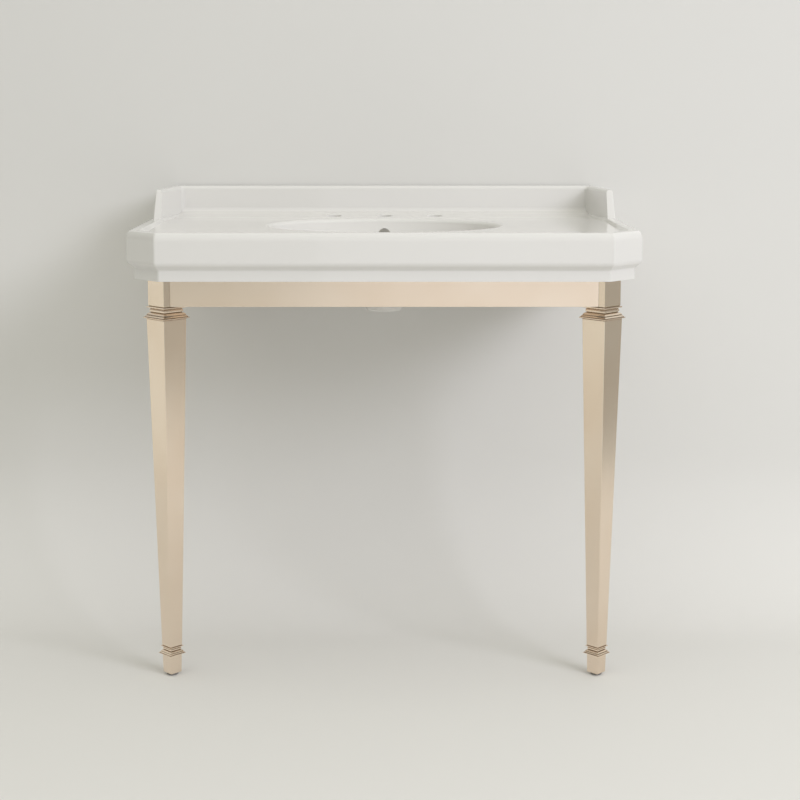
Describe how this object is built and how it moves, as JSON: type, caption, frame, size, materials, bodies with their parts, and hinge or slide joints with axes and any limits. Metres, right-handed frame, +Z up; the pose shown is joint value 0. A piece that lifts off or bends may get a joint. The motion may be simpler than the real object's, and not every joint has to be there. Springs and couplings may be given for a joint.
{
  "type": "console sink",
  "caption": "Glazed console basin with an oval bowl, splashback and side returns, on a square-tube frame with tapered square legs.",
  "frame": {"origin": "on the floor, midway across the basin's width and midway between its fascia and the wall", "axes": "+X across the width to the right as seen from the front, +Y towards the wall, +Z up"},
  "size_m": [0.914, 0.548, 0.87],
  "materials": {
    "glazed_fireclay": "gloss white glaze",
    "satin_brass": "satin, pale champagne gold",
    "steel": "zinc plated",
    "rubber": "matte",
    "glide_nylon": "matte"
  },
  "bodies": {
    "console": {"console_basin": "glazed_fireclay", "front_rail": "satin_brass", "rail_grub_screws": "steel", "bearing_pads": "rubber", "left_side_rail": "satin_brass", "right_side_rail": "satin_brass", "left_corner_block": "satin_brass", "right_corner_block": "satin_brass", "left_wall_flange": "satin_brass", "right_wall_flange": "satin_brass", "left_capital": "satin_brass", "right_capital": "satin_brass", "left_leg_shaft": "satin_brass", "right_leg_shaft": "satin_brass", "left_base_collar": "satin_brass", "right_base_collar": "satin_brass", "left_foot_block": "satin_brass", "right_foot_block": "satin_brass", "left_leg_stud": "steel", "right_leg_stud": "steel", "left_foot_stud": "steel", "right_foot_stud": "steel"},
    "left_leveller": {"left_glide_pad": "glide_nylon", "left_leveller_stem": "steel"},
    "right_leveller": {"right_glide_pad": "glide_nylon", "right_leveller_stem": "steel"}
  },
  "joints": [
    {"name": "left_leveller_height", "type": "slide", "parent": "console", "child": "left_leveller", "axis": [0, 0, -1], "range_m": [0, 0.01]},
    {"name": "right_leveller_height", "type": "slide", "parent": "console", "child": "right_leveller", "axis": [0, 0, -1], "range_m": [0, 0.01]}
  ]
}
